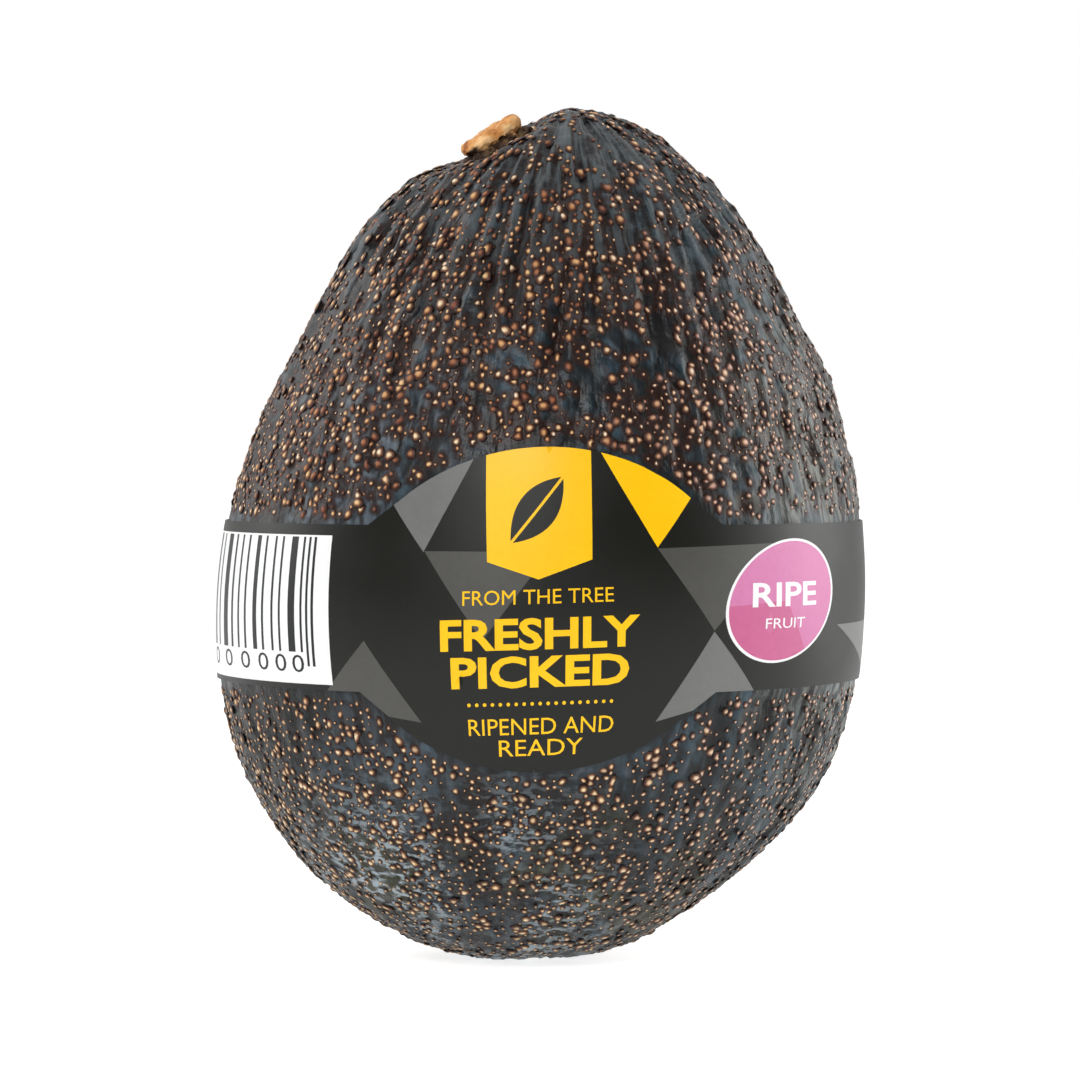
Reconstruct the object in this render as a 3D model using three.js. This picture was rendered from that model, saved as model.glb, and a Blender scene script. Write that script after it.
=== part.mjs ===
// An avocado with its woody stem button, wearing a printed paper label round its girth.
// Millimetres, +Z up. The origin is the centre of the small flat spot that the fruit stands on,
// and the label's round front faces -Y. A bearing is an angle about +Z, and 0 points along +X.
// A rise is an angle on the egg: 0 is its girth, 90 its tip and -90 its base.
import * as THREE from "three";
import { mergeVertices } from "three/addons/utils/BufferGeometryUtils.js";

// The fruit is an egg: an ellipse below its girth, and a slimmer, tapering one above it.
const FRUIT_HEIGHT = 96.8;
const FRUIT_WIDTH = 72.6;
const FRUIT_DEPTH = 70.8;
const GIRTH_HEIGHT = 40.6;
const REST_SPOT_RADIUS = 7;
const NECK_SLIMMING = 0.207; // the share of its width that the neck loses by the tip
const NECK_SLIMMING_POWER = 1.5; // above 1, the slimming starts gently at the girth
const LEAN_DEGREES = 2.7; // the core leans towards +X as it rises

// The flesh isn't even. Each swelling adds a share to the radius, and fades over its spread.
const SWELLINGS = [
  { bearing: 0, rise: -59, spread: 8, share: -0.052 },
  { bearing: 0, rise: -28, spread: 14, share: 0.0455 },
  { bearing: 0, rise: 23.5, spread: 13, share: 0.044 },
  { bearing: 0, rise: 59.5, spread: 9, share: 0.0655 },
  { bearing: 90, rise: 50, spread: 14, share: 0.05 },
  { bearing: 180, rise: -59, spread: 8, share: 0.0235 },
  { bearing: 180, rise: -23.5, spread: 14, share: 0.031 },
  { bearing: 180, rise: 17, spread: 14, share: 0.033 },
  { bearing: 180, rise: 52, spread: 9, share: 0.0915 },
  { bearing: 270, rise: 45, spread: 14, share: 0.04 },
];

// The stem end: a pit beside the tip, and the button of the broken stem that sits in it.
const STEM_TILT_DEGREES = 30;
const STEM_BEARING_DEGREES = 195;
const STEM_ROOT_DEPTH = 17; // the stem's axis starts on the core, this far below the tip
const PIT_RADIUS = 9.8;
const PIT_DEPTH = 3.6;
const STEM_RADIUS = 4;
const STEM_HEIGHT = 2.8; // from the floor of the pit to the button's face
const STEM_EDGE_RADIUS = 1.1;
const STEM_DISH_DEPTH = 0.3;
const STEM_GAP = 0.3;

// The label is one strip of paper with a wide round front. Its ends lap over each other behind.
const LABEL_HEIGHT = 40.9; // of its middle line, above the rest spot
const STRIP_WIDTH = 17.8;
const ROUNDEL_WIDTH = 46;
const ROUNDEL_HEIGHT = 34.5;
const SHOULDER_RISE = 2.8; // straight shoulders join the round front to the strip
const SHOULDER_RUN = 3.9;
const LABEL_THICKNESS = 0.2;
const LABEL_GAP = 0.3;
const LAP_LENGTH = 9;
const LAP_GAP = 0.12;
const LAP_RAMP = 4; // one end climbs onto the other over this length

// Fineness of the meshes.
const BEARING_STEPS = 60;
const BELOW_GIRTH_STEPS = 18;
const ABOVE_GIRTH_STEPS = 30;
const STEM_STEPS = 28;
const STEM_UNDERSIDE_STEPS = 4;
const STEM_EDGE_STEPS = 4;
const LABEL_COLUMNS = 132;
const LABEL_ROWS = 6;

const UP = new THREE.Vector3(0, 0, 1);
const FRONT = -Math.PI / 2;
const radians = THREE.MathUtils.degToRad;
const halfWidth = FRUIT_WIDTH / 2;
const upperReach = FRUIT_HEIGHT - GIRTH_HEIGHT;
// The rest spot cuts off the lower ellipse, which would end a little below it.
const lowerReach = GIRTH_HEIGHT / Math.sqrt(1 - (REST_SPOT_RADIUS / halfWidth) ** 2);
const coreSlope = Math.tan(radians(LEAN_DEGREES));

function heightAt(rise) {
  return GIRTH_HEIGHT + (rise > 0 ? upperReach : lowerReach) * Math.sin(rise);
}

// The egg's radius at a height, before its swellings.
function eggRadius(height) {
  const above = height > GIRTH_HEIGHT;
  const away = Math.abs(height - GIRTH_HEIGHT) / (above ? upperReach : lowerReach);
  const ellipse = halfWidth * Math.sqrt(1 - Math.min(away, 1) ** 2);
  return above ? ellipse * (1 - NECK_SLIMMING * away ** NECK_SLIMMING_POWER) : ellipse;
}

function swellingAt(bearing, height) {
  let total = 0;
  for (const lump of SWELLINGS) {
    const middle = heightAt(radians(lump.rise));
    const turn = bearing - radians(lump.bearing);
    const nearTurn = Math.atan2(Math.sin(turn), Math.cos(turn));
    const away = Math.hypot(nearTurn * eggRadius(middle), height - middle);
    total += lump.share * Math.exp(-((away / lump.spread) ** 2));
  }
  return total;
}

// A point of the flesh, at a share of the way out from the core to the skin.
function fleshPoint(bearing, height, share = 1) {
  const radius = share * eggRadius(height) * (1 + swellingAt(bearing, height));
  const x = height * coreSlope + radius * Math.cos(bearing);
  const y = (FRUIT_DEPTH / FRUIT_WIDTH) * radius * Math.sin(bearing);
  return new THREE.Vector3(x, y, height);
}

// The stem's axis.
const stemRootHeight = FRUIT_HEIGHT - STEM_ROOT_DEPTH;
const stemRoot = new THREE.Vector3(stemRootHeight * coreSlope, 0, stemRootHeight);
const stemAxis = new THREE.Vector3().setFromSphericalCoords(1, radians(STEM_TILT_DEGREES), 0);
stemAxis.set(stemAxis.z, 0, stemAxis.y).applyAxisAngle(UP, radians(STEM_BEARING_DEGREES));

// Sinks a point of the skin along the stem's axis where it lies in the pit.
function sinkIntoPit(point) {
  const fromRoot = point.clone().sub(stemRoot);
  const along = fromRoot.dot(stemAxis);
  const off = fromRoot.addScaledVector(stemAxis, -along).length() / PIT_RADIUS;
  if (along > 0 && off < 1) point.addScaledVector(stemAxis, -PIT_DEPTH * (1 - off ** 2) ** 2);
  return point;
}

// Leaves one vertex at each place along a seam or at a pole.
function welded(geometry) {
  geometry.deleteAttribute("normal");
  geometry.deleteAttribute("uv");
  return mergeVertices(geometry, 1e-4);
}

// Moves every vertex to the place that a function gives for it.
function reshaped(geometry, place) {
  const position = geometry.getAttribute("position");
  for (let i = 0; i < position.count; i++) {
    const moved = place(new THREE.Vector3().fromBufferAttribute(position, i));
    position.setXYZ(i, moved.x, moved.y, moved.z);
  }
  return geometry;
}

// Turns a profile of (radius, height) points about +Z.
function turned(profile, steps) {
  return welded(new THREE.LatheGeometry(profile, steps).rotateX(Math.PI / 2));
}

function makeFruit() {
  const profile = [new THREE.Vector2(0, 0), new THREE.Vector2(REST_SPOT_RADIUS, 0)];
  const restRise = -Math.asin(GIRTH_HEIGHT / lowerReach);
  for (let i = 1; i < BELOW_GIRTH_STEPS; i++) {
    const height = heightAt(restRise * (1 - i / BELOW_GIRTH_STEPS));
    profile.push(new THREE.Vector2(eggRadius(height), height));
  }
  for (let i = 0; i < ABOVE_GIRTH_STEPS; i++) {
    const height = heightAt(((Math.PI / 2) * i) / ABOVE_GIRTH_STEPS);
    profile.push(new THREE.Vector2(eggRadius(height), height));
  }
  profile.push(new THREE.Vector2(0, FRUIT_HEIGHT));
  const geometry = reshaped(turned(profile, BEARING_STEPS), ({ x, y, z }) => {
    const share = Math.hypot(x, y) / Math.max(eggRadius(z), 1e-6);
    return sinkIntoPit(fleshPoint(Math.atan2(y, x), z, share));
  });
  const material = new THREE.MeshStandardMaterial({ color: 0x33373a, roughness: 0.45, metalness: 0 });
  const fruit = new THREE.Mesh(geometry, material);
  fruit.name = "fruit";
  return fruit;
}

// How far along the stem's axis the skin reaches, at most, on a ring round that axis.
function skinReach(fruit, ringRadius) {
  const across = new THREE.Vector3(0, 1, 0).cross(stemAxis).setLength(ringRadius);
  const reaches = [];
  for (let i = 0; i < STEM_STEPS; i++) {
    const onRing = across.clone().applyAxisAngle(stemAxis, (2 * Math.PI * i) / STEM_STEPS);
    const from = stemRoot.clone().add(onRing).addScaledVector(stemAxis, FRUIT_HEIGHT);
    const ray = new THREE.Raycaster(from, stemAxis.clone().negate());
    reaches.push(FRUIT_HEIGHT - ray.intersectObject(fruit)[0].distance);
  }
  return Math.max(...reaches);
}

// The button's underside follows the pit that it sits in, and its face is a little dished.
function makeStemButton(fruit) {
  const floor = skinReach(fruit, 0);
  const profile = [];
  for (let i = 0; i <= STEM_UNDERSIDE_STEPS; i++) {
    const radius = (STEM_RADIUS * i) / STEM_UNDERSIDE_STEPS;
    profile.push(new THREE.Vector2(radius, skinReach(fruit, radius) - floor + STEM_GAP));
  }
  const face = STEM_GAP + STEM_HEIGHT;
  for (let i = 0; i <= STEM_EDGE_STEPS; i++) {
    const angle = ((Math.PI / 2) * i) / STEM_EDGE_STEPS;
    const radius = STEM_RADIUS - STEM_EDGE_RADIUS * (1 - Math.cos(angle));
    profile.push(new THREE.Vector2(radius, face - STEM_EDGE_RADIUS * (1 - Math.sin(angle))));
  }
  profile.push(new THREE.Vector2(0, face - STEM_DISH_DEPTH));
  const material = new THREE.MeshStandardMaterial({ color: 0xc08a50, roughness: 0.8, metalness: 0 });
  const button = new THREE.Mesh(turned(profile, STEM_STEPS), material);
  button.name = "stem_button";
  button.position.copy(stemRoot).addScaledVector(stemAxis, floor);
  button.quaternion.setFromUnitVectors(UP, stemAxis);
  return button;
}

// Half the label's height at a distance along it from the middle of its front.
function labelHalfHeight(along) {
  const strip = STRIP_WIDTH / 2;
  const cut = (strip + SHOULDER_RISE) / (ROUNDEL_HEIGHT / 2);
  const shoulder = (ROUNDEL_WIDTH / 2) * Math.sqrt(1 - cut ** 2);
  const away = Math.abs(along);
  if (away < shoulder) return (ROUNDEL_HEIGHT / 2) * Math.sqrt(1 - (away / (ROUNDEL_WIDTH / 2)) ** 2);
  return strip + SHOULDER_RISE * Math.max(0, 1 - (away - shoulder) / SHOULDER_RUN);
}

// A point at a distance outside the skin, measured square to it.
function outsideSkin(bearing, height, distance) {
  const step = 1e-3;
  const here = fleshPoint(bearing, height);
  const round = fleshPoint(bearing + step, height).sub(here);
  const upward = fleshPoint(bearing, height + step).sub(here);
  return here.addScaledVector(round.cross(upward).normalize(), distance);
}

// A flat blank, one unit high, takes the label's outline as it is bent round the fruit.
function makeLabel() {
  const girth = Math.PI * Math.sqrt((FRUIT_WIDTH ** 2 + FRUIT_DEPTH ** 2) / 2);
  const length = girth + LAP_LENGTH;
  const lapStart = length / 2 - LAP_LENGTH;
  const blank = welded(new THREE.BoxGeometry(length, 1, LABEL_THICKNESS, LABEL_COLUMNS, LABEL_ROWS, 1));
  const geometry = reshaped(blank, ({ x, y, z }) => {
    const climb = THREE.MathUtils.smoothstep(x, lapStart - LAP_RAMP, lapStart);
    const distance = LABEL_GAP + LABEL_THICKNESS / 2 + z + climb * (LABEL_THICKNESS + LAP_GAP);
    const height = LABEL_HEIGHT + 2 * y * labelHalfHeight(x);
    return outsideSkin(FRONT + (2 * Math.PI * x) / girth, height, distance);
  });
  const material = new THREE.MeshStandardMaterial({ color: 0x282924, roughness: 0.35, metalness: 0 });
  const label = new THREE.Mesh(geometry, material);
  label.name = "label_band";
  return label;
}

const fruit = makeFruit();
const avocado = new THREE.Group();
avocado.add(fruit, makeStemButton(fruit), makeLabel());

export default avocado;
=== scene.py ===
import itertools
import math
import bmesh
import bpy
import numpy as np
from mathutils import Matrix, Vector, kdtree, noise
from mathutils.bvhtree import BVHTree
from mathutils.geometry import delaunay_2d_cdt


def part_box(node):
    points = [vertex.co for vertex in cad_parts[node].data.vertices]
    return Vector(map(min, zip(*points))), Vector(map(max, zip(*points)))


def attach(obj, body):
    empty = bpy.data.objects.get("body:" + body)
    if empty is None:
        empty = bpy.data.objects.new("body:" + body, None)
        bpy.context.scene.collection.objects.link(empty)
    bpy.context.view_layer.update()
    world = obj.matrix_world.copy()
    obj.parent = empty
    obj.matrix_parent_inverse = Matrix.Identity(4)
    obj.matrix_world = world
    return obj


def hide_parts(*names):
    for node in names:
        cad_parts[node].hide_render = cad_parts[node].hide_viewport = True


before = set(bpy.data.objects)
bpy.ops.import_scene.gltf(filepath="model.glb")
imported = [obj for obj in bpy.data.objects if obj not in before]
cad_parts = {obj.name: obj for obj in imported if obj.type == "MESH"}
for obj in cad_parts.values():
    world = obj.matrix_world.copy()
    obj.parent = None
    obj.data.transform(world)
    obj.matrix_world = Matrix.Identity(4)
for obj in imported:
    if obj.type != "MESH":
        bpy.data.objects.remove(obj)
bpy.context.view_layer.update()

MM = 0.001

# ---------------------------------------------------------------------------------------------
# The fruit: flesh in a thick, leathery skin, grown as one piece and standing on its blunt end.
# The skin is pebbled all over, creased lengthwise at the neck, and flat where the label holds it.
# ---------------------------------------------------------------------------------------------
SKIN_CUTS = 127  # cuts on each side of the cube that the skin is rounded from
UV_MARGIN = 0.01  # the free edge round each side of the cube in the bake image
CORE_LEAN = math.radians(2.7)
SWIRL_SIZE = 5 * MM  # the swirl bends the pebbles and ridges, so that none runs straight
SWIRL_REACH = 0.35 * MM
PEBBLE_SIZE = 2.0 * MM
PEBBLE_SWIRL = 0.8 * MM
PEBBLE_LENGTHENING = 0.6  # height is scaled by this, which draws the pebbles out lengthwise
PEBBLE_RISE = 0.17 * MM
DENT_SIZE = 7 * MM
DENT_RISE = 0.22 * MM
FLOW_RADIUS = 26 * MM  # the ridges' pattern goes round a circle of this radius
FLOW_LENGTHENING = 0.2
RIDGE_SIZE = 3.2 * MM
RIDGE_RISE = 0.7 * MM
MOUND_RADIUS = 0.85 * MM
MOUND_RISE = 0.11 * MM
HALO_RADIUS = 0.8 * MM
FOLD_REACH = 9 * MM
FOLD_SIZE = 2.6 * MM
FOLD_RISE = 0.5 * MM
STAR_RADIUS = 6 * MM  # the folds' pattern goes round the stem on a circle of this radius
STAR_LENGTHENING = 0.25
RELIEF_MIDDLE = 0.15 * MM
HELD_FROM, HELD_TO = 0.6 * MM, 2.2 * MM  # between these distances from the label, the skin comes free of it
HELD_REACH = 3 * MM
HELD_SHARE = 0.1  # of its relief, which the skin keeps under the label

SLATE_DARK, SLATE, SLATE_PALE = (0.006, 0.007, 0.008), (0.014, 0.027, 0.036), (0.046, 0.078, 0.105)
TEAL = (0.013, 0.046, 0.058)
MAROON = (0.014, 0.0075, 0.006)
BARE_SLATE = (0.105, 0.130, 0.155)
DULL_GREEN = (0.036, 0.038, 0.014)
STREAK_PALE, STREAK_DARK = (0.070, 0.100, 0.122), (0.007, 0.005, 0.005)
# Painted light for the relief: a painted highlight grey on raised pebbles and ridges, and a painted shade
# black in the creases.
PEBBLE_HIGHLIGHT_GREY, CREASE_SHADE_BLACK = (0.085, 0.100, 0.120), (0.004, 0.003, 0.003)
HALO_BROWN = (0.024, 0.0080, 0.0040)
SPECK_TAN = (0.19, 0.085, 0.042)
# A painted highlight: pale glints low on the left, where the skin would reflect the bright floor.
PAINTED_GLINT_PALE = (0.34, 0.40, 0.44)
# A painted reflection: the grey that lightens the skin where it turns to the right.
RIGHT_REFLECTION_GREY = (0.29, 0.30, 0.27)
NECK_GREY = (0.078, 0.094, 0.102)
SHADE_BLACK = (0.005, 0.005, 0.004)

rng = np.random.default_rng(7)
fruit_low, fruit_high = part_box("fruit")
fruit_height = fruit_high.z - fruit_low.z
fruit_middle = (fruit_low + fruit_high) / 2


def share_of_height(z):
    return (z - fruit_low.z) / fruit_height


def level_at(share):
    return fruit_low.z + share * fruit_height


def smooth_tree(node):
    """A ray-casting tree of a CAD node's surface, merged and smoothed."""
    form = bmesh.new()
    form.from_mesh(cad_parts[node].data)
    bmesh.ops.remove_doubles(form, verts=form.verts, dist=0.01 * MM)
    flat_enough = math.radians(30)
    bmesh.ops.join_triangles(
        form, faces=form.faces, angle_face_threshold=flat_enough, angle_shape_threshold=math.pi
    )
    mesh = bpy.data.meshes.new("smooth form")
    form.to_mesh(mesh)
    form.free()
    holder = bpy.data.objects.new("smooth form", mesh)
    bpy.context.scene.collection.objects.link(holder)
    smooth = holder.modifiers.new("Smooth", "SUBSURF")
    smooth.levels = smooth.render_levels = 2
    tree = BVHTree.FromObject(holder, bpy.context.evaluated_depsgraph_get())
    bpy.data.objects.remove(holder)
    bpy.data.meshes.remove(mesh)
    return tree


def plain_tree(node):
    """A ray-casting tree of a CAD node's surface as it is."""
    form = bmesh.new()
    form.from_mesh(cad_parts[node].data)
    tree = BVHTree.FromBMesh(form)
    form.free()
    return tree


def positions(mesh):
    co = np.empty(len(mesh.vertices) * 3, np.float32)
    mesh.vertices.foreach_get("co", co)
    return co.reshape(-1, 3).astype(float)


def normals(mesh):
    n = np.empty(len(mesh.vertices) * 3, np.float32)
    mesh.vertex_normals.foreach_get("vector", n)
    return n.reshape(-1, 3).astype(float)


def move_to(mesh, points):
    mesh.vertices.foreach_set("co", points.astype(np.float32).ravel())
    mesh.update()


def point_attribute(mesh, name, values):
    layer = mesh.attributes.new(name, "FLOAT", "POINT")
    layer.data.foreach_set("value", np.asarray(values, np.float32))


def new_piece(name, mesh, slot, *finishes):
    """A visible piece that rides on the fruit's body, with its finishes in order."""
    piece = bpy.data.objects.new(name, mesh)
    bpy.context.scene.collection.objects.link(piece)
    for finish in finishes:
        mesh.materials.append(finish)
    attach(piece, "root")
    return piece


def soft_noise(points, size, octaves, seed):
    shift = Vector((seed, seed * 1.7, -seed))
    return np.array([noise.fractal(Vector(p / size) + shift, 1.0, 2.0, octaves) for p in points])


def smoothstep(low, high, x):
    t = np.clip((x - low) / (high - low), 0, 1)
    return t * t * (3 - 2 * t)


stem_middle = Vector(positions(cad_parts["stem_button"].data).mean(0))
skin_tree = smooth_tree("fruit")
label_tree = plain_tree("label_band")

# A cube's sides, cut finely and rounded, make a skin of even squares with no pole.
skin_form = bmesh.new()
sheet_map = skin_form.loops.layers.uv.new("OFBake")
bmesh.ops.create_cube(skin_form, size=2)
for i, face in enumerate(skin_form.faces):
    for loop, (a, b) in zip(face.loops, ((0, 0), (1, 0), (1, 1), (0, 1))):
        across = i % 3 + UV_MARGIN + (1 - 2 * UV_MARGIN) * a
        up = i // 3 + UV_MARGIN + (1 - 2 * UV_MARGIN) * b
        loop[sheet_map].uv = (across / 3, up / 2)
bmesh.ops.subdivide_edges(skin_form, edges=skin_form.edges, cuts=SKIN_CUTS, use_grid_fill=True)
for face in skin_form.faces:
    face.smooth = True
skin_mesh = bpy.data.meshes.new("skin")
skin_form.to_mesh(skin_mesh)
skin_form.free()

directions = np.tan(positions(skin_mesh) * math.pi / 4)
directions /= np.linalg.norm(directions, axis=1)[:, None]
plain_skin = np.array([skin_tree.ray_cast(fruit_middle, Vector(d))[0] for d in directions])
move_to(skin_mesh, plain_skin)
plain_normals = normals(skin_mesh)


# The places of the lenticels come before the skin's relief, because each one sits on a low mound.
LENTICEL_ROWS = 14000
LENTICEL_STEP = 0.85 * MM
LENTICEL_CLEARANCE = 0.7 * MM
LABEL_CLEARANCE = 0.95 * MM
REST_CLEARANCE = 0.6 * MM
CROWD_SIZE = 12 * MM


def chance_of_a_row(point):
    """Rows are common low down and in crowded patches, and rarer elsewhere."""
    crowding = noise.fractal(point / CROWD_SIZE, 1.0, 2.0, 2)
    low = 1 - smoothstep(0.1, 0.5, share_of_height(point.z))
    return 0.2 + 0.8 * low + 0.7 * smoothstep(-0.3, 0.3, crowding)


def neighbours(taken, cell):
    """The lenticels in one cell of the grid and in the cells round it."""
    shifts = itertools.product((-1, 0, 1), repeat=3)
    return [p for s in shifts for p in taken.get(tuple(c + d for c, d in zip(cell, s)), ())]


def lenticel_places():
    """Short winding rows of pores, scattered over the skin and never closer than the clearance."""
    taken = {}
    found = []
    for start in rng.integers(0, len(plain_skin), LENTICEL_ROWS):
        point = Vector(plain_skin[start])
        if rng.random() > chance_of_a_row(point):
            continue
        normal = Vector(plain_normals[start])
        heading = rng.normal(0, 0.7) + (math.pi if rng.random() < 0.5 else 0)
        level = Vector((0, 0, 1)).cross(normal)
        if level.length < 0.1:
            level = Vector((1, 0, 0))
        level.normalize()
        step = level * math.cos(heading) + normal.cross(level) * math.sin(heading)
        for _ in range(rng.integers(1, 7)):
            cell = tuple(math.floor(c / LENTICEL_CLEARANCE) for c in point)
            if all((p - point).length > LENTICEL_CLEARANCE for p in neighbours(taken, cell)):
                taken.setdefault(cell, []).append(point.copy())
                found.append(tuple(point))
            step = Matrix.Rotation(rng.normal(0, 0.5), 3, normal) @ step
            reach = LENTICEL_STEP * rng.uniform(0.85, 1.5)
            point, normal = skin_tree.find_nearest(point + step * reach)[:2]
    return np.array(found)


places = lenticel_places()
under_label = np.array([
    label_tree.find_nearest(Vector(p), LABEL_CLEARANCE)[0] is not None for p in places
])
places = places[~under_label & (places[:, 2] >= REST_CLEARANCE)]
place_finder = kdtree.KDTree(len(places))
for i, place in enumerate(places):
    place_finder.insert(place, i)
place_finder.balance()
nearest = np.array([place_finder.find(p)[2] for p in plain_skin])
mounds = np.exp(-((nearest / MOUND_RADIUS) ** 2))

# Pebbles are small cells drawn out lengthwise, and dents are broad and shallow.
swirl = np.stack([soft_noise(plain_skin, SWIRL_SIZE, 2, seed) for seed in (1, 2, 3)], 1)
cells = [
    noise.voronoi(Vector(p / PEBBLE_SIZE))[0]
    for p in plain_skin * np.array((1, 1, PEBBLE_LENGTHENING)) + PEBBLE_SWIRL * swirl
]
pebbles = smoothstep(0, 0.5, np.array([d[1] - d[0] for d in cells])) - 0.5
dents = soft_noise(plain_skin, DENT_SIZE, 3, 11)

# Ridges run lengthwise, and are strongest at the neck and down the right side.
bearing = np.arctan2(plain_skin[:, 1], plain_skin[:, 0] - plain_skin[:, 2] * math.tan(CORE_LEAN))
flow = np.stack([
    np.cos(bearing) * FLOW_RADIUS, np.sin(bearing) * FLOW_RADIUS, plain_skin[:, 2] * FLOW_LENGTHENING,
], 1)
flow += SWIRL_REACH * swirl
ridges = 0.35 - np.abs(soft_noise(flow, RIDGE_SIZE, 2, 23)) * 2
neck = smoothstep(0.5, 0.92, share_of_height(plain_skin[:, 2]))
right_side = 0.8 * smoothstep(0.25, 0.8, plain_skin[:, 0] / fruit_high.x)
ridge_share = 0.35 + 0.65 * np.maximum(neck, right_side)

# Folds run out from the stem like a star, and take the place of the ridges there.
from_stem = plain_skin - np.array(stem_middle)
around_stem = np.arctan2(from_stem[:, 1], from_stem[:, 0])
stem_distance = np.linalg.norm(from_stem, axis=1)
star = np.stack([
    np.cos(around_stem) * STAR_RADIUS, np.sin(around_stem) * STAR_RADIUS, stem_distance * STAR_LENGTHENING,
], 1)
folds = 0.3 - np.abs(soft_noise(star, FOLD_SIZE, 2, 31)) * 2
fold_share = np.exp(-((stem_distance / FOLD_REACH) ** 2))

# The label presses the skin nearly smooth, and the rest spot stays flat.
held = np.array([
    min(label_tree.find_nearest(Vector(p), HELD_REACH)[3] or HELD_REACH, HELD_REACH) for p in plain_skin
])
free = HELD_SHARE + (1 - HELD_SHARE) * smoothstep(HELD_FROM, HELD_TO, held)
relief = PEBBLE_RISE * pebbles + DENT_RISE * dents + MOUND_RISE * mounds - RELIEF_MIDDLE
relief += RIDGE_RISE * ridge_share * ridges * (1 - fold_share) + FOLD_RISE * fold_share * folds
skin_points = plain_skin + plain_normals * (relief * free)[:, None]
skin_points[:, 2] = np.maximum(skin_points[:, 2], fruit_low.z)
move_to(skin_mesh, skin_points)
point_attribute(skin_mesh, "halo", np.exp(-((nearest / HALO_RADIUS) ** 4)))
# How deep each point lies in the relief; it drives the painted shade in the creases and the painted highlight
# on the raised pebbles.
point_attribute(skin_mesh, "relief_shading", np.clip(0.5 - pebbles * 0.6 - ridges * ridge_share, 0, 1))
flow_layer = skin_mesh.attributes.new("flow", "FLOAT_VECTOR", "POINT")
flow_layer.data.foreach_set("vector", flow.astype(np.float32).ravel())


def group(name, inputs, outputs):
    """An empty shader group with named sockets."""
    tree = bpy.data.node_groups.new(name, "ShaderNodeTree")
    for title, kind, value in inputs:
        socket = tree.interface.new_socket(title, in_out="INPUT", socket_type=kind)
        socket.default_value = value
    for title, kind in outputs:
        tree.interface.new_socket(title, in_out="OUTPUT", socket_type=kind)
    return tree, Nodes(tree)


class Nodes:
    """Short ways to add and join the nodes of one material or group."""

    def __init__(self, tree):
        self.tree = tree
        self.place = {}

    def add(self, kind, **settings):
        node = self.tree.nodes.new(kind)
        for key, value in settings.items():
            setattr(node, key, value)
        return node

    def feed(self, socket, value):
        if isinstance(value, bpy.types.NodeSocket):
            self.tree.links.new(value, socket)
        else:
            socket.default_value = value

    def cloud(self, scale, detail, vector=None):
        """Soft noise between 0 and 1, on the object's own coordinates unless others are given."""
        node = self.add("ShaderNodeTexNoise")
        self.feed(node.inputs["Vector"], vector or self.spot())
        node.inputs["Scale"].default_value = scale
        node.inputs["Detail"].default_value = detail
        return node.outputs["Fac"]

    def cells(self, scale):
        """The distance to the nearest of many scattered points."""
        node = self.add("ShaderNodeTexVoronoi")
        self.feed(node.inputs["Vector"], self.spot())
        node.inputs["Scale"].default_value = scale
        node.inputs["Detail"].default_value = 2.0
        return node.outputs["Distance"]

    def spot(self):
        if "spot" not in self.place:
            self.place["spot"] = self.add("ShaderNodeTexCoord").outputs["Object"]
        return self.place["spot"]

    def stretched(self, factors):
        node = self.add("ShaderNodeMapping")
        self.feed(node.inputs["Vector"], self.spot())
        node.inputs["Scale"].default_value = factors
        return node.outputs["Vector"]

    def axes(self, vector):
        node = self.add("ShaderNodeSeparateXYZ")
        self.feed(node.inputs[0], vector)
        return node.outputs

    def outward_from(self, middle):
        """The direction from a middle point to the shaded spot."""
        away = self.add("ShaderNodeVectorMath", operation="SUBTRACT")
        self.feed(away.inputs[0], self.spot())
        away.inputs[1].default_value = middle
        unit = self.add("ShaderNodeVectorMath", operation="NORMALIZE")
        self.feed(unit.inputs[0], away.outputs["Vector"])
        return unit.outputs["Vector"]

    def attribute(self, name, out="Fac"):
        return self.add("ShaderNodeAttribute", attribute_name=name).outputs[out]

    def ramp(self, value, stops):
        node = self.add("ShaderNodeValToRGB")
        band = node.color_ramp
        band.elements[0].position, band.elements[0].color = stops[0][0], (*stops[0][1], 1)
        band.elements[1].position, band.elements[1].color = stops[-1][0], (*stops[-1][1], 1)
        for at, colour in stops[1:-1]:
            band.elements.new(at).color = (*colour, 1)
        self.feed(node.inputs["Fac"], value)
        return node.outputs["Color"]

    def span(self, value, low, high, to_low=0.0, to_high=1.0):
        node = self.add("ShaderNodeMapRange", interpolation_type="SMOOTHSTEP")
        for title, number in (
            ("Value", value), ("From Min", low), ("From Max", high),
            ("To Min", to_low), ("To Max", to_high),
        ):
            self.feed(node.inputs[title], number)
        return node.outputs["Result"]

    def maths(self, operation, a, b):
        node = self.add("ShaderNodeMath", operation=operation)
        self.feed(node.inputs[0], a)
        self.feed(node.inputs[1], b)
        return node.outputs["Value"]

    def times(self, product, *factors):
        for factor in factors:
            product = self.maths("MULTIPLY", product, factor)
        return product

    def mix(self, share, a, b, blend="MIX"):
        node = self.add("ShaderNodeMix", data_type="RGBA", blend_type=blend)
        self.feed(node.inputs["Factor"], share)
        for socket, value in ((node.inputs[6], a), (node.inputs[7], b)):
            self.feed(socket, (*value, 1) if isinstance(value, tuple) and len(value) == 3 else value)
        return node.outputs[2]

    def bump(self, height, distance, strength):
        node = self.add("ShaderNodeBump")
        self.feed(node.inputs["Height"], height)
        node.inputs["Distance"].default_value = distance
        node.inputs["Strength"].default_value = strength
        return node.outputs["Normal"]


def material(name, **plain):
    """A material with one Principled shader, and the sockets that are the same all over."""
    made = bpy.data.materials.new(name)
    made.use_nodes = True
    shader = made.node_tree.nodes["Principled BSDF"]
    for title, value in plain.items():
        shader.inputs[title.replace("_", " ")].default_value = value
    return made, Nodes(made.node_tree), shader.inputs


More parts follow.
